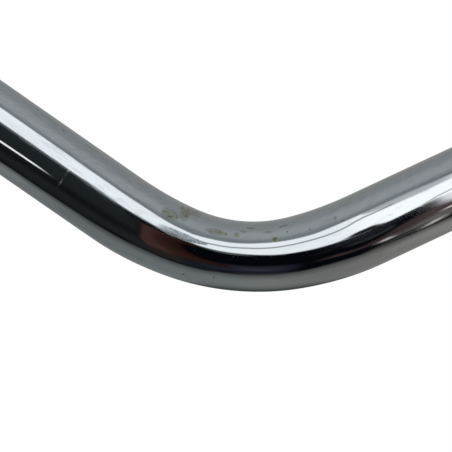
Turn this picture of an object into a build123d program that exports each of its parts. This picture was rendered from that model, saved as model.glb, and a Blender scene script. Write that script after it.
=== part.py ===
# Scooter handlebar: one length of plated steel tube with four bends
#
# X runs across the scooter, Y in the direction of travel and Z up.
# The origin is the middle of the centre section, where the stem clamps the bar.
# The right half is bent and bored first, then mirrored to the left.

import os
from math import cos, pi, radians, sin

from build123d import *

# Tube
tube_diameter = 22.2
wall = 2.0

# Straight lengths: between the lower bends, up each side, and from the last bend to the cut end
centre_length = 150.0
riser_length = 60.0
grip_length = 140.0

# Directions: how far the risers turn up and lean back, and how the grips sweep and droop
lower_turn = 59.8
lean_back = 10.0
sweep_back = 20.0
droop = 6.0

# Bends, all pulled round one former, with a gentler run-in before and after it
former_radius = 58.0
run_in_radius = 93.0
run_in_angle = 13.6

# Section in the middle of a bend: flatter across the bend, wider out of its plane,
# and with the bore set towards the outer wall, which the pull has stretched thin
flattening = 0.085
bulge = 0.0425
bore_shift = 0.2
stations_per_bend = 4

# Cut ends
outer_chamfer = 0.8
bore_chamfer = 0.4

# Locating hole for a switch housing, in the underside of each grip
switch_hole_diameter = 5.0
switch_hole_from_end = 118.0

tube_radius = tube_diameter / 2
bore_radius = tube_radius - wall

# Directions of the right half: along the centre section, up the riser and out along the grip
lean = radians(lean_back)
sweep_angle = radians(sweep_back)
droop_angle = radians(droop)
centre_direction = Vector(1, 0, 0)
up_the_lean = Vector(0, -sin(lean), cos(lean))
riser_direction = centre_direction * cos(radians(lower_turn)) + up_the_lean * sin(radians(lower_turn))
grip_direction = Vector(
    cos(droop_angle) * cos(sweep_angle),
    -cos(droop_angle) * sin(sweep_angle),
    -sin(droop_angle),
)
lower_normal = centre_direction.cross(riser_direction)
upper_normal = riser_direction.cross(grip_direction)
upper_turn = riser_direction.get_angle(grip_direction)


# A straight of open tube along the start plane's X; gives the plane at its far end
def straight(start, length):
    with BuildSketch(Plane(start.origin, x_dir=start.z_dir, z_dir=start.x_dir)) as section:
        Circle(tube_radius)
        Circle(bore_radius, mode=Mode.SUBTRACT)
    extrude(section.sketch, amount=length)
    return Plane(start.origin + start.x_dir * length, x_dir=start.x_dir, z_dir=start.z_dir)


# A bend of open tube that leaves along the start plane's X and turns towards its Y
def bend(start, turn):
    with BuildLine(start) as centreline:
        run_in = JernArc((0, 0), (1, 0), run_in_radius, run_in_angle)
        round_former = JernArc(run_in @ 1, run_in % 1, former_radius, turn - 2 * run_in_angle)
        JernArc(round_former @ 1, round_former % 1, run_in_radius, run_in_angle)
    path = centreline.wire()

    for radius, shift, mode in ((tube_radius, 0, Mode.ADD), (bore_radius, bore_shift, Mode.SUBTRACT)):
        sections = []
        for station in range(stations_per_bend + 1):
            place = station / stations_per_bend
            pull = sin(pi * place) ** 2
            with BuildSketch(Plane(path @ place, x_dir=start.z_dir, z_dir=path % place)) as section:
                with Locations((0, shift * pull)):
                    Ellipse(radius * (1 + bulge * pull), radius * (1 - flattening * pull))
            sections.append(section.sketch.face())
        sweep(sections, path=path, multisection=True, mode=mode)
    return Plane(path @ 1, x_dir=path % 1, z_dir=start.z_dir)


with BuildPart() as handlebar_tube:
    # Right half, from the end of the centre section out to the bar end
    centre_end = Plane(centre_direction * (centre_length / 2), x_dir=centre_direction, z_dir=lower_normal)
    riser_foot = bend(centre_end, lower_turn)
    riser_head = straight(riser_foot, riser_length)
    grip_root = bend(Plane(riser_head.origin, x_dir=riser_direction, z_dir=upper_normal), upper_turn)
    bar_end = straight(grip_root, grip_length)

    # Cut end, deburred outside and inside
    rims = (
        handlebar_tube.edges()
        .filter_by(GeomType.CIRCLE)
        .group_by(Axis(bar_end.origin, grip_direction))[-1]
        .sort_by(SortBy.RADIUS)
    )
    chamfer(rims[-1], outer_chamfer)
    chamfer(rims[0], bore_chamfer)

    # Switch locating hole, drilled square through the lower wall only
    underside = Vector(0, 0, -1) + grip_direction * grip_direction.Z
    hole_centre = bar_end.origin - grip_direction * switch_hole_from_end
    with BuildSketch(Plane(hole_centre, x_dir=grip_direction, z_dir=underside)):
        Circle(switch_hole_diameter / 2)
    extrude(amount=tube_diameter, mode=Mode.SUBTRACT)

    # Left half, and the clamped centre section between the two
    mirror(about=Plane.YZ)
    with BuildSketch(Plane.YZ):
        Circle(tube_radius)
        Circle(bore_radius, mode=Mode.SUBTRACT)
    extrude(amount=centre_length / 2, both=True)

handlebar_tube.part.label = "handlebar_tube"

os.makedirs("parts", exist_ok=True)
export_step(handlebar_tube.part, "parts/handlebar_tube.step")
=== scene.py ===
# Scooter handlebar: a fine mesh of the one bent tube, its worn chrome, and the studio that it reflects

from math import atan2, cos, degrees, pi, radians, sin

import bpy
from mathutils import Matrix, Vector


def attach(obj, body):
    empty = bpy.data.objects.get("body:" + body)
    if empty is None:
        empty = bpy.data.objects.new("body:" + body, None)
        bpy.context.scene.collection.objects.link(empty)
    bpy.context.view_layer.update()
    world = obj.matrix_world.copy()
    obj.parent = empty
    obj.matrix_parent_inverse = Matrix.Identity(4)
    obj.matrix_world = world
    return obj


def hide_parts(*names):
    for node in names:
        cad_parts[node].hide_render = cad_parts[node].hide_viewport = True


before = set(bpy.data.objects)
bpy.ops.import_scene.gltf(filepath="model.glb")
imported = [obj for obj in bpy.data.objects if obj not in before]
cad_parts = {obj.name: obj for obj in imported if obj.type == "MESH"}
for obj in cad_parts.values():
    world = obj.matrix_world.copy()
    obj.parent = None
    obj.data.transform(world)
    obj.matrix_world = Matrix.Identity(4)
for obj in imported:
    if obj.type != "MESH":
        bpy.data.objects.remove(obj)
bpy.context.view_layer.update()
mm = 0.001
print("frame loaded, nodes:", ", ".join(sorted(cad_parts)))


# Nodes: a signal is a socket that can be added, multiplied and compared

class Signal:
    def __init__(self, wiring, socket):
        self.wiring, self.socket = wiring, socket

    def maths(self, operation, *others):
        return self.wiring.maths(operation, self, *others)

    def __add__(self, other):
        return self.maths("ADD", other)

    def __sub__(self, other):
        return self.maths("SUBTRACT", other)

    def __mul__(self, other):
        return self.maths("MULTIPLY", other)

    def __truediv__(self, other):
        return self.maths("DIVIDE", other)

    def __pow__(self, other):
        return self.maths("POWER", other)

    def __lt__(self, other):
        return self.maths("LESS_THAN", other)

    def __gt__(self, other):
        return self.maths("GREATER_THAN", other)

    def __abs__(self):
        return self.maths("ABSOLUTE")

    def __rsub__(self, other):
        return self.wiring.maths("SUBTRACT", other, self)

    def __rtruediv__(self, other):
        return self.wiring.maths("DIVIDE", other, self)

    __radd__ = __add__
    __rmul__ = __mul__


def colour(value):
    return (*value, 1.0) if isinstance(value, tuple) and len(value) == 3 else value


class Wiring:
    def __init__(self, tree):
        self.tree = tree
        tree.nodes.clear()

    # One node: its settings are set first, then its sockets, by place in a list, or by name or place in a
    # dictionary. A list of signals all go into one socket. Gives one output, or the node itself for None.
    def node(self, kind, settings=None, sockets=(), output=0):
        made = self.tree.nodes.new(kind)
        for name, value in (settings or {}).items():
            if name == "stops":
                self.setStops(made.color_ramp, value)
            else:
                setattr(made, name, value)
        wanted = sockets.items() if isinstance(sockets, dict) else enumerate(sockets)
        for place, value in wanted:
            if isinstance(value, Signal):
                value = [value]
            if isinstance(value, list):
                for signal in value:
                    self.tree.links.new(signal.socket, made.inputs[place])
            else:
                made.inputs[place].default_value = value
        return made if output is None else Signal(self, made.outputs[output])

    def setStops(self, ramp, stops):
        first, last = ramp.elements[0], ramp.elements[1]
        first.position, first.color = stops[0]
        last.position, last.color = stops[-1]
        for place, shade in stops[1:-1]:
            ramp.elements.new(place).color = shade

    def maths(self, operation, *values):
        return self.node("ShaderNodeMath", {"operation": operation}, values)

    # 0 to 1 as the signal goes from low to high, eased
    def fade(self, signal, low, high):
        settings = {"interpolation_type": "SMOOTHSTEP"}
        return self.node("ShaderNodeMapRange", settings, [signal, low, high, 0.0, 1.0])

    # 1 from full to wane, eased down to 0 at start and at end
    def between(self, signal, start, full, wane, end):
        return self.fade(signal, start, full) * (1 - self.fade(signal, wane, end))

    # the number or tone that belongs to the signal, read between (signal, number or tone) stops
    def follow(self, signal, stops):
        low, high = stops[0][0], stops[-1][0]
        share = (signal - low) / (high - low)
        if isinstance(stops[0][1], tuple):
            marks = [((at - low) / (high - low), colour(value)) for at, value in stops]
            return self.node("ShaderNodeValToRGB", {"stops": marks}, [share])
        least = min(value for _, value in stops)
        span = max(value for _, value in stops) - least
        marks = [((at - low) / (high - low), colour(((value - least) / span,) * 3)) for at, value in stops]
        return self.node("ShaderNodeValToRGB", {"stops": marks}, [share]) * span + least

    def greatest(self, signals):
        whole = signals[0]
        for signal in signals[1:]:
            whole = whole.maths("MAXIMUM", signal)
        return whole

    def mixColour(self, share, first, second, blend="MIX"):
        settings = {"data_type": "RGBA", "blend_type": blend, "clamp_factor": True}
        return self.node("ShaderNodeMix", settings, {0: share, 6: colour(first), 7: colour(second)}, output=2)

    def vector(self, operation, *values):
        output = "Value" if operation == "DOT_PRODUCT" else "Vector"
        return self.node("ShaderNodeVectorMath", {"operation": operation}, values, output)

    def scaled(self, vector, scale):
        return self.node("ShaderNodeVectorMath", {"operation": "SCALE"}, {0: vector, "Scale": scale})

    def combine(self, x, y, z):
        return self.node("ShaderNodeCombineXYZ", None, [x, y, z])

    def noise(self, place, scale, detail=2.0, roughness=0.5, distortion=0.0):
        return self.node("ShaderNodeTexNoise", {"noise_dimensions": "3D"}, {
            "Vector": place, "Scale": scale, "Detail": detail, "Roughness": roughness, "Distortion": distortion,
        })


# Camera: close in front of the right lower bend, rolled so that the centre section falls to the right

camera = {
    "place": Vector((99.31, -131.60, -9.78)) * mm,
    "right": Vector((0.8194, -0.1318, 0.5579)),
    "up": Vector((-0.5720, -0.1244, 0.8108)),
    "lens": 36.0,
    "sensor": 36.0,
}


def placeCamera(view):
    right = view["right"].normalized()
    back = right.cross(view["up"]).normalized()
    up = back.cross(right)
    lensData = bpy.data.cameras.new("camera")
    lensData.lens = view["lens"]
    lensData.sensor_width = view["sensor"]
    lensData.clip_start = 0.01
    placed = bpy.data.objects.new("camera", lensData)
    turned = Matrix((right, up, back)).transposed().to_4x4()
    placed.matrix_world = Matrix.Translation(view["place"]) @ turned
    bpy.context.scene.collection.objects.link(placed)
    bpy.context.scene.camera = placed
    return right, up, back


cameraRight, cameraUp, cameraBack = placeCamera(camera)
print("camera placed")


# Tube: one length, four bends, mirrored about the middle of the centre section

tube = {
    "outerRadius": 11.1 * mm,
    "wall": 2.0 * mm,
    "centreLength": 150.0 * mm,
    "riserLength": 60.0 * mm,
    "gripLength": 140.0 * mm,
    "lowerTurn": 59.8,
    "leanBack": 10.0,
    "sweepBack": 20.0,
    "droop": 6.0,
    "formerRadius": 58.0 * mm,
    "runInRadius": 93.0 * mm,
    "runInAngle": 13.6,
    "flattening": 0.085,
    "bulge": 0.0425,
    "boreShift": 0.2 * mm,
    "switchHole": 5.0 * mm,
    "switchHoleFromEnd": 118.0 * mm,
    "drillDepth": 8.0 * mm,
    # how fine the mesh is: facets around, then lengths between rings
    "sides": 96,
    "bendStep": 1.25 * mm,
    "straightStep": 4.0 * mm,
    "boreStep": 5.0 * mm,
    "holeRings": [(k + 0.31) * mm for k in range(-5, 5)],  # extra rings, from the middle of the switch hole
    "outerEndsShort": 1.5 * mm,  # how far before the cut end the even rings stop
    "boreEndsShort": 1.0 * mm,
    "platedFrom": 9.5,  # the plating ends on the bore's rim, at this radius in mm
    "crispAngle": 35.0,
}

# The cut end from the outer wall round to the bore, with softened corners: mm back from the end, and radius in mm
rimProfile = [
    (0.98, 11.100), (0.86, 11.082), (0.74, 11.010), (0.12, 10.390), (0.04, 10.290), (0.00, 10.160),
    (0.00, 9.640), (0.02, 9.540), (0.08, 9.450), (0.32, 9.190), (0.40, 9.125), (0.52, 9.100),
]


# Point, heading, and side that a bend turns to, at a distance into a bend
def alongBend(start, heading, inward, turn, distance):
    place, turned = start.copy(), 0.0
    side = inward
    for radius, angle in (
        (tube["runInRadius"], radians(tube["runInAngle"])),
        (tube["formerRadius"], radians(turn - 2 * tube["runInAngle"])),
        (tube["runInRadius"], radians(tube["runInAngle"])),
    ):
        part = min(max(distance, 0.0), radius * angle)
        after = turned + part / radius
        place += heading * radius * (sin(after) - sin(turned)) - side * radius * (cos(after) - cos(turned))
        turned, distance = after, distance - part
    return place, heading * cos(turned) + side * sin(turned), side * cos(turned) - heading * sin(turned)


# Stations of the right half: along, point, heading, inward side and how far the bend has pulled the section
def layRightHalf(straightStep, bendStep):
    turn, lean, sweep, droop = (radians(tube[name]) for name in ("lowerTurn", "leanBack", "sweepBack", "droop"))
    outward = Vector((1, 0, 0))
    upTheLean = Vector((0, -sin(lean), cos(lean)))
    riser = outward * cos(turn) + upTheLean * sin(turn)
    grip = Vector((cos(droop) * cos(sweep), -cos(droop) * sin(sweep), -sin(droop)))
    runs = (
        (outward, None, tube["centreLength"] / 2),
        (outward, riser, degrees(outward.angle(riser))),
        (riser, None, tube["riserLength"]),
        (riser, grip, degrees(riser.angle(grip))),
        (grip, None, tube["gripLength"]),
    )
    stations, along, place = [], 0.0, Vector((0, 0, 0))
    for heading, ahead, size in runs:
        if ahead is None:
            count = max(2, round(size / straightStep))
            places = [size * k / count for k in range(count)]
            if heading is grip:
                places += [size - tube["switchHoleFromEnd"] + ring for ring in tube["holeRings"]]
            for at in sorted(places):
                stations.append((along + at, place + heading * at, heading, None, 0.0))
            place, along = place + heading * size, along + size
        else:
            inward = (ahead - heading * heading.dot(ahead)).normalized()
            length = (
                2 * tube["runInRadius"] * radians(tube["runInAngle"])
                + tube["formerRadius"] * radians(size - 2 * tube["runInAngle"])
            )
            count = round(length / bendStep)
            for k in range(count):
                point, toward, side = alongBend(place, heading, inward, size, length * k / count)
                stations.append((along + length * k / count, point, toward, side, sin(pi * k / count) ** 2))
            place, along = alongBend(place, heading, inward, size, length)[0], along + length
    stations.append((along, place, grip, None, 0.0))
    return stations


# The same stations with a section frame that doesn't twist, which starts upright in the middle
def addSectionFrames(stations):
    framed, across, before = [], Vector((0, 0, 1)), stations[0][2]
    for along, point, heading, side, pull in stations:
        across = before.rotation_difference(heading) @ across
        across = (across - heading * heading.dot(across)).normalized()
        beside = heading.cross(across)
        inwardAngle = atan2(side.dot(beside), side.dot(across)) if side is not None else 0.0
        framed.append((along, point, across, beside, inwardAngle, pull))
        before = heading
    return framed


# Rings of the whole tube as one closed path: out along the outer wall, round the rim, back down the bore
def layRings():
    outer = addSectionFrames(layRightHalf(tube["straightStep"], tube["bendStep"]))
    bore = addSectionFrames(layRightHalf(tube["boreStep"], tube["boreStep"]))
    end, barEnd, across, beside = outer[-1][:4]
    gripDirection = across.cross(beside)
    outerRadius, boreRadius = tube["outerRadius"], tube["outerRadius"] - tube["wall"]

    rim = []
    for back, radius in rimProfile:
        point = barEnd - gripDirection * back * mm
        inside = 1.0 if radius < tube["platedFrom"] else 0.0
        rim.append((end - back * mm, point, across, beside, 0.0, 0.0, radius * mm, inside))
    evenOuter = [(*station, outerRadius, 0.0) for station in outer if station[0] < end - tube["outerEndsShort"]]
    evenBore = [(*station, boreRadius, 1.0) for station in bore if station[0] < end - tube["boreEndsShort"]]

    def mirrored(entry):
        along, point, across, beside, inwardAngle, pull, radius, inside = entry
        flip = Vector((-1, 1, 1))
        return (-along, point * flip, across * flip, beside * flip, inwardAngle, pull, radius, inside)

    right = evenOuter + rim + evenBore[::-1]
    left = [mirrored(entry) for entry in right[::-1]]
    return right + left[1:-1], barEnd, gripDirection


# A closed chain of vertices, one for each ring, that carries the ring's sizes as attributes
def makeRingChain(rings):
    chain = bpy.data.meshes.new("ringChain")
    count = len(rings)
    chain.from_pydata([entry[1] for entry in rings], [(k, (k + 1) % count) for k in range(count)], [])
    columns = {
        "along": (0, "FLOAT"), "centre": (1, "FLOAT_VECTOR"), "across": (2, "FLOAT_VECTOR"),
        "beside": (3, "FLOAT_VECTOR"), "inwardAngle": (4, "FLOAT"), "pull": (5, "FLOAT"),
        "ringRadius": (6, "FLOAT"), "inside": (7, "FLOAT"),
    }
    for name, (column, kind) in columns.items():
        attribute = chain.attributes.new(name, kind, "POINT")
        field = "vector" if kind == "FLOAT_VECTOR" else "value"
        for k, entry in enumerate(rings):
            setattr(attribute.data[k], field, entry[column])
    return chain


def makeTubeTree():
    tree = bpy.data.node_groups.new("sweepTube", "GeometryNodeTree")
    face = tree.interface
    face.new_socket("Geometry", in_out="INPUT", socket_type="NodeSocketGeometry")
    for name, kind in (
        ("Sides", "Int"), ("Flattening", "Float"), ("Bulge", "Float"), ("Bore shift", "Float"),
        ("Hole diameter", "Float"), ("Drill depth", "Float"), ("Hole place", "Vector"),
        ("Hole direction", "Vector"), ("Crisp angle", "Float"),
        ("Plating", "Material"), ("Bare bore", "Material"),
    ):
        face.new_socket(name, in_out="INPUT", socket_type="NodeSocket" + kind)
    face.new_socket("Geometry", in_out="OUTPUT", socket_type="NodeSocketGeometry")
    wiring = Wiring(tree)
    node = wiring.node
    given = node("NodeGroupInput", output=None)

    def value(name):
        return Signal(wiring, given.outputs[name])

    def carried(name, kind="FLOAT"):
        return node("GeometryNodeInputNamedAttribute", {"data_type": kind}, {"Name": name})

    # the ring, with its angle kept on its points
    size = {"Resolution": value("Sides"), "Radius": 1.0}
    circle = node("GeometryNodeCurvePrimitiveCircle", {"mode": "RADIUS"}, size)
    factor = node("GeometryNodeSplineParameter")
    circle = node(
        "GeometryNodeStoreNamedAttribute", {"data_type": "FLOAT", "domain": "POINT"},
        {"Geometry": circle, "Name": "around", "Value": factor * (2 * pi)},
    )
    path = node("GeometryNodeMeshToCurve", None, {"Mesh": value("Geometry")})
    swept = node("GeometryNodeCurveToMesh", None, {"Curve": path, "Profile Curve": circle})

    # each ring vertex goes to its place on the section: flatter towards the bend, wider across it
    around, pull, radius, inside = (carried(name) for name in ("around", "pull", "ringRadius", "inside"))
    inwardAngle = carried("inwardAngle")
    turned = around - inwardAngle
    flat = radius * (1.0 - pull * value("Flattening")) * turned.maths("COSINE")
    flat = flat - inside * pull * value("Bore shift")
    wide = radius * (1.0 + pull * value("Bulge")) * turned.maths("SINE")
    cosine, sine = inwardAngle.maths("COSINE"), inwardAngle.maths("SINE")
    across = wiring.scaled(carried("across", "FLOAT_VECTOR"), flat * cosine - wide * sine)
    beside = wiring.scaled(carried("beside", "FLOAT_VECTOR"), flat * sine + wide * cosine)
    place = wiring.vector("ADD", carried("centre", "FLOAT_VECTOR"), wiring.vector("ADD", across, beside))
    shaped = node("GeometryNodeSetPosition", None, {"Geometry": swept, "Position": place})

    # where each vertex lies on the tube before it was bent, for the finish
    unbent = wiring.combine(carried("along"), radius * around.maths("COSINE"), radius * around.maths("SINE"))
    shaped = node(
        "GeometryNodeStoreNamedAttribute", {"data_type": "FLOAT_VECTOR", "domain": "POINT"},
        {"Geometry": shaped, "Name": "unbent", "Value": unbent},
    )

    # the two switch holes
    cutters = []
    for flip in ((1, 1, 1), (-1, 1, 1)):
        at = wiring.vector("MULTIPLY", value("Hole place"), flip)
        along = wiring.vector("MULTIPLY", value("Hole direction"), flip)
        drill = node("GeometryNodeMeshCylinder", {"fill_type": "NGON"}, {
            "Vertices": 48, "Side Segments": 1, "Fill Segments": 1,
            "Radius": value("Hole diameter") * 0.5, "Depth": value("Drill depth"),
        })
        turn = node("FunctionNodeAlignRotationToVector", {"axis": "Z"}, {"Vector": along})
        placed = {"Geometry": drill, "Translation": at, "Rotation": turn}
        cutters.append(node("GeometryNodeTransform", None, placed))
    settings = {"operation": "DIFFERENCE", "solver": "EXACT"}
    drilled = node("GeometryNodeMeshBoolean", settings, {"Mesh 1": shaped, "Mesh 2": cutters})

    # smooth walls, crisp rims
    smooth = node("GeometryNodeSetShadeSmooth", {"domain": "FACE"}, {"Geometry": drilled, "Shade Smooth": True})
    edgeAngle = node("GeometryNodeInputMeshEdgeAngle")
    crisp = node(
        "GeometryNodeSetShadeSmooth", {"domain": "EDGE"},
        {"Geometry": smooth, "Selection": edgeAngle > value("Crisp angle"), "Shade Smooth": False},
    )
    realized = node("GeometryNodeRealizeInstances", None, {"Geometry": crisp})
    plated = node("GeometryNodeSetMaterial", None, {"Geometry": realized, "Material": value("Plating")})
    lined = node(
        "GeometryNodeSetMaterial", None,
        {"Geometry": plated, "Selection": carried("inside") > 0.5, "Material": value("Bare bore")},
    )
    node("NodeGroupOutput", None, {"Geometry": lined}, output=None)
    return tree


def setInputs(modifier, values):
    for item in modifier.node_group.interface.items_tree:
        if item.item_type == "SOCKET" and item.in_out == "INPUT" and item.name in values:
            modifier[item.identifier] = values[item.name]


def makeTube(platingMaterial, boreMaterial):
    rings, barEnd, gripDirection = layRings()
    underside = (Vector((0, 0, -1)) + gripDirection * gripDirection.z).normalized()
    holeOnAxis = barEnd - gripDirection * tube["switchHoleFromEnd"]
    holder = bpy.data.objects.new("ringChain", makeRingChain(rings))
    bpy.context.scene.collection.objects.link(holder)
    modifier = holder.modifiers.new("sweepTube", "NODES")
    modifier.node_group = makeTubeTree()
    setInputs(modifier, {
        "Sides": tube["sides"], "Flattening": tube["flattening"], "Bulge": tube["bulge"],
        "Bore shift": tube["boreShift"], "Hole diameter": tube["switchHole"], "Drill depth": tube["drillDepth"],
        "Hole place": holeOnAxis + underside * tube["outerRadius"], "Hole direction": underside,
        "Crisp angle": radians(tube["crispAngle"]), "Plating": platingMaterial, "Bare bore": boreMaterial,
    })
    evaluated = holder.evaluated_get(bpy.context.evaluated_depsgraph_get())
    mesh = bpy.data.meshes.new_from_object(evaluated)
    mesh.name = "chromedTube"
    for name in ("centre", "across", "beside", "inwardAngle", "ringRadius", "around", "along", "inside", "pull"):
        if name in mesh.attributes:
            mesh.attributes.remove(mesh.attributes[name])
    bpy.data.objects.remove(holder)
    made = bpy.data.objects.new("chromedTube", mesh)
    bpy.context.scene.collection.objects.link(made)
    print("tube swept:", len(rings), "rings,", len(mesh.polygons), "faces")
    return made


# Finish: lengths along the tube in mm from the middle, degrees around it from its top towards the rider.
# A reach is where a mark starts, is full, wanes and ends.

plating = {
    "roughness": 0.045,
    # how much rougher the film, the wiped film, the scratches, the haze and the smear make it
    "filmDull": 0.012,
    "wipedDull": 0.010,
    "scratchDull": 0.02,
    "hazeDull": 0.05,
    "smearDull": 0.10,
    # height of one unit of relief, then the scuff's grain and the former's line in that unit
    "reliefUnit": 0.016 * mm,
    "scuffGrain": 0.07,
    "lineDepth": 0.02,
    "mirror": (0.60, 0.607, 0.612),
    "film": (0.565, 0.572, 0.578),
    "wipe": (0.655, 0.66, 0.665),
    "wipeCover": 0.45,
    "wipeAround": (-20, 10, 66, 76),
    "coolTint": (0.985, 1.0, 1.012),
    # fine line that the former has left round the right lower bend, and a second one above it
    "dieLine": [
        (102, 85.3), (105, 84.6), (108, 84.2), (111, 83.6), (115, 82.5), (120, 82.3), (123, 82.1), (126, 81.5),
        (132, 80.9), (138, 80.4), (141, 79.6), (144, 78.0), (147, 75.7), (150, 74.4), (153, 74.7), (163, 75.3),
    ],
    "dieLineReach": (101, 103, 158, 160),
    "riserLine": [(163, 96.0), (167, 92.9), (170.5, 91.2), (174.5, 90.8), (190, 90.0)],
    "riserLineReach": (164, 166, 184, 186),
    "lineWidth": 0.20,
    # witness ring where the edge of a clamp has sat
    "ring": 61.6,
    "ringWidth": 0.48,
    "ringAround": (87, 90, 120, 125),
    # dull scuffed streak: along and middle around, then along and half width in mm
    "scuffMiddle": [(87, 87.2), (92, 87.4), (97, 86.8), (101, 86.6), (104.2, 86.6)],
    "scuffWidth": [(86, 0.20), (89, 0.75), (93, 1.15), (98, 1.05), (102, 0.60), (104.2, 0.32)],
    "scuffReach": (88, 91, 103.7, 104.2),
    # dull veil along the top of the bright band on the riser: along, then its two edges around
    "veilTop": [(147, 65.5), (158, 66), (190, 66.5)],
    "veilFoot": [(148, 70.5), (151, 73), (154, 74.4), (157, 76.0), (160, 77.8), (165, 78.4), (190, 78)],
    "veilReach": (148, 152, 172, 186),
    # cleaner plate on the riser, and below its bright band a rougher patch with a painted highlight
    "cleanReach": (138, 154, 190, 214),
    "paintedHighlightReach": (169.5, 174, 196, 225),
    # shoulder that the former has pressed along the inside of the bend: along, then how much or its middle around
    "shoulder": [
        (81, 0.0), (84, 0.2), (87, 1.0), (90, 1.9), (93, 2.5), (96, 2.85), (99, 3.05), (102, 2.7), (105, 2.25),
        (111, 1.75), (117, 0.9), (120, 0.5), (123, 0.65), (126, 1.05), (129, 1.5), (132, 1.8), (135, 1.8),
        (138, 1.4), (141, 0.8), (145, 0.3), (149, 0.0),
    ],
    "shoulderAround": [
        (84, 75), (90, 77.5), (96, 79.5), (105, 80), (114, 79), (120, 77.5), (129, 76), (138, 73.5), (147, 70.5),
    ],
    "shoulderHalfWidth": 9,
    "shoulderDepth": 3.6,
    # dent below the bright band, where the former lets go of the tube
    "dentReach": (138.5, 147.5, 149.5, 157),
    "dentAround": (86, 95, 97, 125),
    "dentDepth": 5.5,
    # the bends, as distance from the middle, and the stretch whose rust is placed one spot at a time
    "lowerBend": (74, 84, 146, 156),
    "upperBend": (206, 216, 262, 272),
    "placedRust": (60, 180),
}

# Marks on the plate, one of them a painted highlight: colour, share of it that covers the plate, and how much
# rougher it makes the plate
marks = {
    "clean": ((0.69, 0.685, 0.685), 1.0, 0.0),
    "blotches": ((0.40, 0.41, 0.42), 0.45, 0.0),
    "edgeSmear": ((0.33, 0.34, 0.35), 0.35, 0.14),
    "veil": ((0.12, 0.125, 0.13), 0.62, 0.08),
    "scuff": ((0.18, 0.20, 0.215), 1.0, 0.28),
    # painted highlight: brighter than the plate's own colour, below the riser's bright band, and rougher
    "rustBloomAndPaintedHighlight": ((0.86, 0.83, 0.84), 0.8, 0.14),
    "dieLine": ((0.14, 0.15, 0.15), 0.85, 0.0),
    "riserLine": ((0.12, 0.13, 0.13), 0.5, 0.2),
    "ring": ((0.75, 0.76, 0.77), 0.25, 0.20),
    "pits": ((0.035, 0.033, 0.036), 0.85, 0.45),
    "specks": ((0.10, 0.10, 0.11), 0.5, 0.3),
}

rustFinish = {
    "stain": (0.165, 0.185, 0.11),
    "darkStain": (0.10, 0.105, 0.06),
    "ochre": (0.185, 0.17, 0.065),
    "stainCover": 0.85,
    "stainDull": 0.12,
    "crustDull": 0.6,
    "crustRise": 0.02,
    # share of the metal that each takes away
    "stainBare": 0.25,
    "crustBare": 0.9,
    "pitBare": 0.6,
    "otherBends": 0.8,  # how far the rust of the other three bends has eaten through
}

# Rust: along, around, half length and half width in mm, then how far it has eaten through
rust = [
    (90.9, 63.3, 2.5, 1.7, 0.45), (91.3, 66.0, 0.75, 0.50, 1.0), (89.3, 65.2, 0.65, 1.05, 0.6),
    (92.9, 63.0, 0.7, 0.6, 0.8), (94.7, 47.5, 1.6, 3.0, 0.5), (95.3, 53.0, 0.55, 0.85, 1.0),
    (93.0, 40.2, 0.6, 1.1, 0.85), (97.2, 37.0, 2.2, 2.0, 0.28), (105.3, 63.4, 3.0, 1.0, 0.4),
    (103.6, 65.2, 0.7, 0.5, 0.9), (106.3, 62.1, 1.0, 0.8, 1.0), (108.5, 63.4, 0.5, 0.4, 0.9),
    (111.8, 62.0, 0.8, 0.8, 0.55), (113.9, 53.4, 1.1, 0.5, 0.4), (121.7, 54.5, 1.3, 0.55, 0.35),
    (123.4, 69.4, 0.95, 0.85, 1.0), (144.0, 67.4, 0.6, 0.35, 0.5), (142.5, 58.9, 0.6, 0.7, 0.3),
]

# Dark pits: along, around, half length and half width in mm
pits = [
    (125.9, 46.6, 0.60, 0.45), (127.6, 44.6, 1.3, 0.35), (127.5, 59.1, 0.35, 0.35), (134.2, 64.0, 0.25, 0.33),
    (107.5, 136.1, 0.32, 0.50), (100.1, 145.7, 0.45, 0.42), (116.1, 44.9, 1.6, 0.45), (52.7, 39.7, 0.4, 0.5),
    (81.1, 69.1, 0.5, 0.3), (123.4, 68.2, 0.55, 0.20), (91.0, 67.6, 0.45, 0.22),
]


def newMaterial(name):
    material = bpy.data.materials.new(name)
    material.use_nodes = True
    return material, Wiring(material.node_tree)


# Where each point lay before the tube was bent, in mm, then how far along the tube and at what angle around it
def readUnbent(wiring):
    unbent = wiring.node("ShaderNodeAttribute", {"attribute_name": "unbent"}, output="Vector")
    unbent = wiring.scaled(unbent, 1 / mm)
    parts = wiring.node("ShaderNodeSeparateXYZ", None, [unbent], output=None)
    along, upright, toRider = (Signal(wiring, parts.outputs[k]) for k in range(3))
    return unbent, along, toRider.maths("ARCTAN2", upright) * degrees(1)


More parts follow.
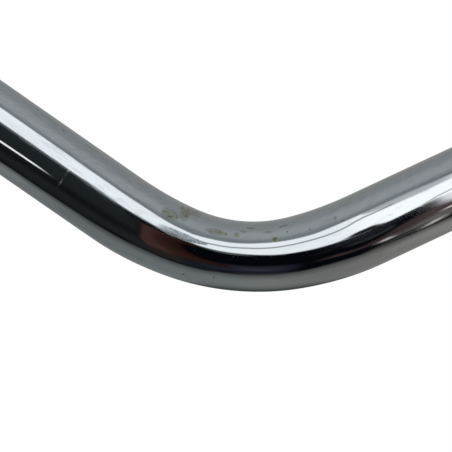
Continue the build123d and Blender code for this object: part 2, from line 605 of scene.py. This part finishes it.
def makePlating():
    material, wiring = newMaterial("wornChrome")
    node, fade, between, follow = wiring.node, wiring.fade, wiring.between, wiring.follow
    mix, noise, greatest = wiring.mixColour, wiring.noise, wiring.greatest
    unbent, along, around = readUnbent(wiring)
    distance = abs(along)
    degree = radians(1) * tube["outerRadius"] / mm  # length of one degree around, in mm

    def stretched(lengthwise, crosswise):
        return wiring.vector("MULTIPLY", unbent, (lengthwise, crosswise, crosswise))

    drawn = stretched(0.12, 1.0)
    ragged = noise(unbent, 1.6, 3.0, 0.6) - 0.5
    grain = noise(unbent, 0.95, 1.0, 0.45)

    def spot(at, middle, halfLength, halfWidth, wobble=0.8, heart=0.45):
        x, y = (along - at) * (1 / halfLength), (around - middle) * (degree / halfWidth)
        return 1 - fade((x * x + y * y) ** 0.5 + ragged * wobble, heart, 1.25)

    # rust of the photographed bend, and a little of the same kind in the other three
    eaten = greatest([spot(*place) * depth for *place, depth in rust])
    bends = between(distance, *plating["lowerBend"]) + between(distance, *plating["upperBend"])
    placedFrom, placedTo = plating["placedRust"]
    elsewhere = 1 - (along > placedFrom) * (along < placedTo)
    seeds = fade(noise(unbent, 0.22, 2.0, 0.5), 0.60, 0.68) * fade(noise(unbent, 1.1, 3.0, 0.7), 0.50, 0.66)
    eaten = greatest([eaten, seeds * bends * elsewhere * rustFinish["otherBends"]])
    crust = eaten * fade(grain, 0.40, 0.66)
    pitted = greatest([spot(*place, 0.6, 0.70) for place in pits] + [crust * fade(grain, 0.60, 0.70)])
    specks = fade(noise(unbent, 2.6, 1.0, 0.5), 0.745, 0.79) * fade(noise(unbent, 0.15, 1.0, 0.5), 0.46, 0.58)

    # lines left by the former, and the witness ring
    def line(path, reach):
        away = abs(around - follow(along, path)) * degree
        width = plating["lineWidth"]
        return (1 - fade(away, width * 0.4, width * 1.6)) * between(along, *reach)

    dieLine = line(plating["dieLine"], plating["dieLineReach"])
    riserLine = line(plating["riserLine"], plating["riserLineReach"])
    ringAway = abs(distance - plating["ring"] + (noise(drawn, 0.35, 1.0) - 0.5) * 0.5)
    ringWear = 0.7 + 0.3 * fade(noise(unbent, 0.8, 2.0, 0.6), 0.40, 0.58)
    ring = (1 - fade(ringAway, 0.0, plating["ringWidth"])) * ringWear * between(around, *plating["ringAround"])

    # scuffed streak, with bare bright grains in it
    off = abs(around - follow(along, plating["scuffMiddle"])) * degree + ragged * 0.35
    scuff = 1 - fade(off - follow(along, plating["scuffWidth"]), -0.30, 0.12)
    scuff = scuff * between(along, *plating["scuffReach"]) * (0.6 + 0.4 * fade(along, 89, 95))
    scuff = scuff * (0.65 + 0.35 * fade(noise(unbent, 2.6, 2.0, 0.7), 0.36, 0.58))

    # dull veil on the riser, and the blotches and smears along the edges of the bright band
    overVeil = around - follow(along, plating["veilTop"])
    underVeil = follow(along, plating["veilFoot"]) - around
    veil = fade(overVeil + ragged * 2, 0, 3.5) * fade(underVeil + ragged * 1.5, 0, 2.6)
    veil = veil * between(along, *plating["veilReach"])
    streaks = noise(stretched(0.16, 0.9), 1.0, 4.0, 0.62, 0.8)
    blotches = fade(streaks, 0.50, 0.68) * (1 - fade(abs(distance - 72), 26, 34))
    blotches = blotches + fade(streaks, 0.56, 0.70) * fade(distance, 122, 150)
    edgeSmear = fade(noise(drawn, 0.9, 3.0, 0.65, 0.5), 0.50, 0.64)
    edgeSmear = edgeSmear * (1 - fade(abs(around - 89), 1.5, 6)) * (1 - fade(abs(distance - 66), 16, 26))

    # slanting wipe marks over the top, wiped film, and fine scratches along the tube
    outward = around * degree
    slanted = wiring.combine((along * 0.74 - outward * 0.67) * 0.16, (along * 0.67 + outward * 0.74) * 0.75, 0.0)
    wipes = fade(noise(slanted, 1.0, 3.0, 0.55, 0.4), 0.44, 0.62) * between(around, *plating["wipeAround"])
    wrapped = {"Vector": unbent, "Rotation": (0.0, 0.35, 0.3), "Scale": (0.10, 0.55, 0.55)}
    film = fade(noise(node("ShaderNodeMapping", None, wrapped), 0.55, 3.0, 0.55, 0.6), 0.38, 0.66)
    wiped = fade(noise(drawn, 0.9, 3.0, 0.6, 0.3), 0.40, 0.72)
    scratches = fade(noise(stretched(0.05, 6.0), 1.0, 2.0, 0.6), 0.62, 0.72)

    # haze towards the grips, a dull smear on the centre section, the clean plate of the riser, and a painted
    # highlight below its bright band
    haze = fade(distance, 140, 175) * fade(noise(drawn, 0.5, 2.0), 0.42, 0.62)
    smear = fade(abs(around - 92), 5, 1) * fade(noise(drawn, 1.3, 3.0, 0.7), 0.52, 0.66)
    smear = smear * (1 - fade(abs(along - 70), 20, 34))
    clean = between(along, *plating["cleanReach"]) * fade(around, 68, 80)
    # painted highlight below the riser's bright band: the plate's colour raised above its own, and the patch made
    # rougher
    rustBloomAndPaintedHighlight = between(along, *plating["paintedHighlightReach"]) * fade(around, 91, 93)
    rustBloomAndPaintedHighlight = rustBloomAndPaintedHighlight * (1 - fade(around + ragged * 2, 98, 103))

    # colour: bright plate with its film and a cool tint in places, then the marks and the painted highlight, with
    # the rust under the pits
    base = mix(film * 0.9 + wiped * 0.1, plating["mirror"], plating["film"])
    base = mix(wipes * plating["wipeCover"], base, plating["wipe"])
    cooled = mix(1.0, base, plating["coolTint"], "MULTIPLY")
    base = mix(fade(noise(stretched(0.08, 0.3), 0.8, 2.0, 0.5), 0.35, 0.65), base, cooled)
    found = {
        "clean": clean, "blotches": blotches, "edgeSmear": edgeSmear, "veil": veil, "scuff": scuff, "rustBloomAndPaintedHighlight": rustBloomAndPaintedHighlight,
        "dieLine": dieLine, "riserLine": riserLine, "ring": ring, "pits": pitted, "specks": specks,
    }

    def lay(base, *names):
        for name in names:
            shade, cover, _ = marks[name]
            base = mix(found[name] * cover, base, shade)
        return base

    base = lay(base, "clean", "blotches", "edgeSmear", "veil", "scuff", "rustBloomAndPaintedHighlight", "dieLine", "riserLine", "ring")
    stain = mix(fade(noise(unbent, 1.3, 2.0), 0.40, 0.60), rustFinish["stain"], rustFinish["darkStain"])
    ochre = mix(fade(grain, 0.46, 0.62), stain, rustFinish["ochre"])
    base = mix((eaten ** 0.5) * rustFinish["stainCover"], base, stain)
    base = mix(crust, base, ochre)
    base = lay(base, "pits", "specks")

    bare = [crust * rustFinish["crustBare"], pitted * rustFinish["pitBare"], eaten * rustFinish["stainBare"]]
    metallic = 1 - greatest(bare)
    dulled = [found[name] * rougher for name, (_, _, rougher) in marks.items() if rougher]
    dulled += [haze * plating["hazeDull"], smear * plating["smearDull"]]
    dulled += [crust * rustFinish["crustDull"], eaten * rustFinish["stainDull"]]
    roughness = plating["roughness"] + film * plating["filmDull"] + wiped * plating["wipedDull"]
    roughness = roughness + scratches * plating["scratchDull"] + greatest(dulled)

    # relief: slow unevenness of the polished tube, the shoulder and the dent from the former, fine grain of the
    # scuff, and rust that stands up
    waves = noise(stretched(0.045, 0.22), 1.0, 1.0, 0.4) * 1.6 + noise(unbent, 0.55, 2.0, 0.5) * 0.10
    overShoulder = around - follow(along, plating["shoulderAround"])
    halfWidth = plating["shoulderHalfWidth"]
    pressed = follow(along, plating["shoulder"]) * fade(around, -30, 40) * plating["shoulderDepth"]
    pressed = pressed * (1 - fade(overShoulder, -halfWidth, halfWidth))
    dent = between(around, *plating["dentAround"]) * between(along, *plating["dentReach"]) * plating["dentDepth"]
    scuffGrain = scuff * noise(unbent, 5.0, 2.0, 0.7) * plating["scuffGrain"]
    relief = waves - pressed - dent + scuffGrain + crust * rustFinish["crustRise"] - dieLine * plating["lineDepth"]
    bump = node("ShaderNodeBump", None, {"Strength": 1.0, "Distance": plating["reliefUnit"], "Height": relief})

    finish = {"Base Color": base, "Metallic": metallic, "Roughness": roughness, "Normal": bump}
    shader = node("ShaderNodeBsdfPrincipled", None, finish)
    node("ShaderNodeOutputMaterial", None, {"Surface": shader}, output=None)
    return material


bareSteel = {
    "clean": (0.30, 0.29, 0.28),
    "millScale": (0.12, 0.105, 0.095),
    "rust": (0.17, 0.075, 0.03),
    "rustSpeck": (0.28, 0.13, 0.05),
    "weld": (0.16, 0.16, 0.17),
    "weldAround": -148.0,
    "weldWidth": (0.4, 0.9),
    "roughness": 0.42,
    "reliefUnit": 0.25 * mm,
}


# Inside of the tube: unplated, with its weld line, mill scale and a bloom of rust
def makeBareBore():
    material, wiring = newMaterial("bareBore")
    node, fade, mix, noise = wiring.node, wiring.fade, wiring.mixColour, wiring.noise
    unbent, _, around = readUnbent(wiring)
    degree = radians(1) * (tube["outerRadius"] - tube["wall"]) / mm
    drawn = wiring.vector("MULTIPLY", unbent, (0.08, 1.0, 1.0))
    millScale = fade(noise(drawn, 0.8, 3.0, 0.6), 0.42, 0.60)
    rustBloomAndPaintedHighlight = fade(noise(unbent, 0.30, 4.0, 0.65), 0.46, 0.66)
    specks = fade(noise(unbent, 1.8, 2.0, 0.6), 0.60, 0.68)
    weld = 1 - fade(abs(around - bareSteel["weldAround"]) * degree, *bareSteel["weldWidth"])
    base = mix(millScale, bareSteel["clean"], bareSteel["millScale"])
    base = mix(rustBloomAndPaintedHighlight * 0.8, base, bareSteel["rust"])
    base = mix(specks * rustBloomAndPaintedHighlight, base, bareSteel["rustSpeck"])
    base = mix(weld * 0.5, base, bareSteel["weld"])
    metallic = 1 - wiring.greatest([rustBloomAndPaintedHighlight * 0.8, millScale * 0.4])
    roughness = bareSteel["roughness"] + millScale * 0.12 + rustBloomAndPaintedHighlight * 0.30
    relief = weld * (0.5 + 0.3 * noise(drawn, 2.0, 2.0)) + rustBloomAndPaintedHighlight * noise(unbent, 2.4, 3.0, 0.7) * 0.5
    relief = relief + noise(drawn, 3.0, 2.0) * 0.1
    bump = node("ShaderNodeBump", None, {"Strength": 1.0, "Distance": bareSteel["reliefUnit"], "Height": relief})
    finish = {"Base Color": base, "Metallic": metallic, "Roughness": roughness, "Normal": bump}
    shader = node("ShaderNodeBsdfPrincipled", None, finish)
    node("ShaderNodeOutputMaterial", None, {"Surface": shader}, output=None)
    return material


chromedTube = makeTube(makePlating(), makeBareBore())
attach(chromedTube, "root")
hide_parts("handlebar_tube")


# Studio: what the chrome reflects, as soft-edged panels laid out by pitch and by angle to the side,
# in degrees from the camera's own back direction. A tone is how bright the panel looks in the chrome.

def tone(red, green, blue, mirror=0.60):
    def linear(value):
        value /= 255
        return value / 12.92 if value <= 0.04045 else ((value + 0.055) / 1.055) ** 2.4
    return tuple(linear(value) / mirror for value in (red, green, blue))


studio = {
    # edges: side angle and pitch
    "panelTop": [
        (-20, 59), (-2, 56.0), (3, 56.4), (5.5, 55.3), (9, 53.9), (11, 53.2), (13, 51.4), (16.5, 50.2), (60, 42),
    ],
    "panelFoot": [
        (-50, 38), (-18, 33.5), (-10, 28.6), (-7, 26.7), (-5, 25.6), (-3.6, 24.6), (-1.9, 23.0), (-0.5, 23.0),
        (0.9, 24.0), (2.6, 22.0), (3.2, 18), (3.7, 14.4), (5.3, 13.1), (7.4, 13.4), (9.3, 11.0), (10.4, 9.4),
        (12.3, 9.0), (14.8, 7.4), (15.8, 8.0), (18.5, 8.2), (19.8, 8.6), (20.7, 10.4), (21.4, 12.2), (22.6, 12.7),
        (24.3, 12.0), (26, 8.6), (28, 4.6), (32, -3), (37, -11), (60, -22),
    ],
    "groundEdge": [
        (-60, -78), (-56, -73.4), (-52, -72.6), (-48, -70), (-45, -68.2), (-43, -65.8), (-40, -63.8),
        (-36, -63.2), (-31, -62.8), (-28, -63.8), (-22, -65.2), (-15, -64.8), (-11, -65), (-7, -62.4),
        (1, -62.4), (9, -61.2), (13, -61.1), (17, -59.2), (20, -59.4), (24, -57.5), (26, -55.8),
        (31, -53.5), (36, -54.3), (38, -53.7), (40, -54.7), (42, -57.7), (44, -61.3), (50, -65.5),
    ],
    # the warm screen's sides: pitch and side angle
    "screenLeft": [
        (-52, -26), (-45, -24.6), (-38.4, -23.2), (-30, -21.4), (-21.8, -18.3), (-13.6, -14.4), (-5.6, -10.4),
        (2.2, -6.3), (6.5, -4.0), (12, -1.0),
    ],
    "screenRight": [
        (-50, 1), (-31, -0.5), (-27, -3.5), (-23.5, -6.3), (-12, -6.2), (-2.3, -3.4), (3, -1.4), (7.3, 2.0),
        (12, 5),
    ],
    "screenReach": (-46, -33, 8, 12),
    # how soft those edges are, in degrees before and after them
    "topSoftness": (-1.8, 1.8),
    "footSoftness": (-2.2, 2.0),
    "groundSoftness": (-3.0, 2.0),
    # tones
    "panel": tone(230, 236, 239),
    "shelf": tone(80, 85, 87),
    "glow": tone(88, 80, 84),
    "dark": tone(4, 6, 10),
    "softLight": (0.85, 0.85, 0.85),
    "backdrop": (1.0, 1.0, 1.0),
    "ceiling": [
        (0, tone(124, 128, 131)), (5, tone(108, 115, 119)), (15, tone(136, 142, 144)), (30, tone(137, 142, 144)),
        (50, tone(120, 125, 128)), (70, tone(118, 121, 122)), (110, tone(126, 127, 126)),
    ],
    # ground: its tone across, and how much of it shows with the distance below its edge
    "ground": [
        (-60, tone(112, 116, 117)), (-47, tone(99, 103, 105)), (-12, tone(104, 109, 110)),
        (8, tone(107, 111, 109)), (30, tone(105, 105, 104)), (41, tone(104, 104, 103)), (47, tone(114, 114, 113)),
    ],
    "groundFall": [
        (-3, 0.20), (0, 0.30), (3.5, 0.46), (10, 0.65), (14, 0.75), (17.5, 0.85), (24, 0.97), (30, 1.0),
    ],
    # how much of it shows in the middle, by pitch
    "groundMiddle": [
        (-180, 0.30), (-146, 0.27), (-138, 0.40), (-131, 0.58), (-123.5, 0.76), (-117, 0.88), (-107, 1.0),
    ],
    "leftRoom": [
        (-72, tone(9, 13, 14)), (-52, tone(28, 31, 32)), (-37, tone(29, 31, 32)), (-22, tone(15, 18, 19)),
        (-8, tone(28, 31, 32)), (20, tone(29, 36, 38)),
    ],
    "screen": [
        (0.0, tone(60, 46, 43)), (0.16, tone(61, 41, 37)), (0.36, tone(44, 28, 24)), (1.0, tone(28, 14, 12)),
    ],
    # cards: side angle, pitch, half width, half height, turn, softness, tone
    "lowCards": [
        (-22, -49, 9, 14, 0, 0.5, tone(34, 30, 29)),
        (-10, -51, 8, 15, -8, 0.5, tone(22, 26, 32)),
        (4.5, -41, 15.5, 14, 0, 0.35, tone(30, 31, 39)),
        (7, -42, 8, 8, 0, 0.9, tone(43, 43, 54)),
        (8, -59, 12, 6, 0, 0.8, tone(37, 40, 46)),
        (8, -51.5, 9, 2.5, 0, 0.8, tone(22, 26, 32)),
        (-5, -33, 8, 3.6, -8, 0.8, tone(50, 40, 42)),
    ],
    "sideCards": [
        (-36, -56, 6.5, 4.5, 0, 0.8, tone(11, 12, 13)),
        (20.5, 2, 4.5, 9, 20, 0.8, tone(26, 28, 32)),
        (19.5, -9, 2.5, 3, 0, 0.9, tone(20, 21, 22)),
        (25.2, -9.5, 2.2, 5, 15, 0.9, tone(40, 41, 45)),
        (26.8, -31, 4.6, 5.4, -15, 0.8, tone(50, 41, 40)),
        (38.5, -13, 9, 19, 0, 0.6, tone(64, 55, 56)),
        (32.5, -24, 4, 9, 0, 0.9, tone(50, 42, 42)),
        (42.0, -36, 4.8, 10, 10, 0.8, tone(92, 87, 87)),
        (36.5, -34, 3.0, 6, 10, 0.9, tone(60, 55, 56)),
        (39, -51, 5, 5, 0, 0.7, tone(46, 47, 48)),
        (35.5, -36.5, 0.9, 6.4, 26, 0.9, tone(170, 167, 168)),
        (45.2, -50.5, 1.15, 7.5, 4, 0.9, tone(192, 192, 188)),
        (40.7, -23.6, 1.5, 3.4, 10, 0.8, tone(205, 199, 199)),
        (-33.7, -8.1, 6.1, 2.5, -20, 0.3, tone(244, 247, 248)),
    ],
    # beyond what the camera sees in the chrome: side walls, by height
    "sideWall": [
        (-1.0, tone(104, 107, 108)), (-0.55, tone(98, 101, 102)), (-0.44, tone(66, 68, 69)),
        (-0.38, tone(24, 25, 27)), (-0.05, tone(16, 17, 18)), (0.06, tone(40, 42, 44)),
        (0.16, tone(190, 195, 198)), (0.5, tone(206, 211, 214)), (0.6, tone(128, 133, 136)),
        (1.0, tone(122, 127, 130)),
    ],
}


def makeStudio():
    world = bpy.data.worlds.new("studio")
    bpy.context.scene.world = world
    world.use_nodes = True
    wiring = Wiring(world.node_tree)
    node, fade, follow, mix = wiring.node, wiring.fade, wiring.follow, wiring.mixColour
    direction = node("ShaderNodeTexCoord", output="Generated")
    sideways = wiring.vector("DOT_PRODUCT", direction, cameraRight)
    upwards = wiring.vector("DOT_PRODUCT", direction, cameraUp)
    backwards = wiring.vector("DOT_PRODUCT", direction, cameraBack)
    pitch = upwards.maths("ARCTAN2", backwards) * degrees(1)
    side = sideways.maths("ARCSINE") * degrees(1)

    def addCards(seen, cards):
        for across, up, halfWidth, halfHeight, turn, softness, brightness in cards:
            cosine, sine = cos(radians(turn)), sin(radians(turn))
            x = ((side - across) * cosine + (pitch - up) * sine) * (1 / halfWidth)
            y = ((pitch - up) * cosine - (side - across) * sine) * (1 / halfHeight)
            x, y = x * x, y * y
            outside = fade((x * x + y * y) ** 0.25, 1 - softness, 1 + 0.3 * softness)
            seen = mix(1 - outside, seen, brightness)
        return seen

    seen = addCards(studio["dark"], studio["lowCards"])

    # warm screen, and the room to the left of it
    left, right = follow(pitch, studio["screenLeft"]), follow(pitch, studio["screenRight"])
    share = (side - left) / (right - left)
    onScreen = wiring.between(share, -0.05, 0.05, 0.95, 1.08) * wiring.between(pitch, *studio["screenReach"])
    seen = mix(onScreen, seen, follow(share, studio["screen"]))
    seen = mix(1 - fade(side - left, -1.3, 0.1), seen, follow(pitch, studio["leftRoom"]))
    seen = addCards(seen, studio["sideCards"])

    # ground in front, panel with its shelf and glow, ceiling above it
    belowEdge = follow(side, studio["groundEdge"]) - pitch
    middle = 1 - fade(abs(side - 5), 8, 22)
    shown = follow(belowEdge, studio["groundFall"]) * (1 - middle * (1 - follow(pitch, studio["groundMiddle"])))
    ground = mix(1.0, follow(side, studio["ground"]), wiring.combine(shown, shown, shown), "MULTIPLY")
    seen = mix(fade(belowEdge, *studio["groundSoftness"]), seen, ground)
    overFoot = pitch - follow(side, studio["panelFoot"])
    seen = mix(fade(overFoot, -8.5, -5.0) * (1 - fade(side, 6, 9)), seen, studio["shelf"])
    glow = fade(overFoot, -6, 1) * fade(side, 22, 27)
    seen = mix(glow * glow, seen, studio["glow"])
    seen = mix(fade(overFoot, *studio["footSoftness"]), seen, studio["panel"])
    overTop = pitch - follow(side, studio["panelTop"])
    seen = mix(fade(overTop, *studio["topSoftness"]), seen, follow(overTop, studio["ceiling"]))

    # side walls, and the white backdrop behind the object
    seen = mix(fade(abs(side), 57, 72), seen, follow(upwards, studio["sideWall"]))
    behind = fade(abs(pitch), 172, 177)
    seen = mix(behind * (1 - fade(abs(side), 40, 60)), seen, studio["backdrop"])

    # camera rays see plain white, matt surfaces a plain soft light, and the chrome the studio
    direct, through, mirrored = (
        node("ShaderNodeLightPath", output=f"Is {kind} Ray") for kind in ("Camera", "Transmission", "Glossy")
    )
    seen = mix(mirrored, studio["softLight"], seen)
    seen = mix(direct + through, seen, studio["backdrop"])
    shader = node("ShaderNodeBackground", None, {"Color": seen, "Strength": 1.0})
    node("ShaderNodeOutputWorld", None, {"Surface": shader}, output=None)
    world.cycles.sampling_method = "NONE"


floorPlan = {
    "halfWidth": 3.0,
    "height": -0.30,
    "matt": (0.86, 0.86, 0.86, 1),
    "glow": 0.25,
}


# Pale floor below the handlebar, which a view from underneath looks through
def makeFloor():
    reach, height = floorPlan["halfWidth"], floorPlan["height"]
    mesh = bpy.data.meshes.new("floor")
    corners = [(x * reach, y * reach, height) for x, y in ((-1, -1), (1, -1), (1, 1), (-1, 1))]
    mesh.from_pydata(corners, [], [(0, 1, 2, 3)])
    floor = bpy.data.objects.new("floor", mesh)
    bpy.context.scene.collection.objects.link(floor)
    material, wiring = newMaterial("paleFloor")
    node = wiring.node
    seen = node("ShaderNodeLightPath", output="Is Camera Ray")
    matt = node("ShaderNodeBsdfDiffuse", None, {"Color": floorPlan["matt"]})
    glow = node("ShaderNodeEmission", None, {"Color": (1, 1, 1, 1), "Strength": seen * floorPlan["glow"]})
    both = node("ShaderNodeAddShader", None, [matt, glow])
    clear = node("ShaderNodeBsdfTransparent")
    under = node("ShaderNodeNewGeometry", output="Backfacing")
    surface = node("ShaderNodeMixShader", None, [under, both, clear])
    node("ShaderNodeOutputMaterial", None, {"Surface": surface}, output=None)
    mesh.materials.append(material)
    floor.visible_glossy = False


softLight = {
    "place": Vector((-0.5, -0.6, 1.5)),
    "size": 1.2,
    "energy": 12.0,
}


def placeSoftLight():
    lamp = bpy.data.lights.new("softLight", "AREA")
    lamp.shape = "DISK"
    lamp.size = softLight["size"]
    lamp.energy = softLight["energy"]
    placed = bpy.data.objects.new("softLight", lamp)
    placed.location = softLight["place"]
    placed.rotation_euler = (-softLight["place"]).to_track_quat("-Z", "Y").to_euler()
    placed.visible_glossy = False
    placed.visible_camera = False
    bpy.context.scene.collection.objects.link(placed)


makeStudio()
makeFloor()
placeSoftLight()
bpy.context.scene.view_settings.view_transform = "Standard"
print("studio lit")
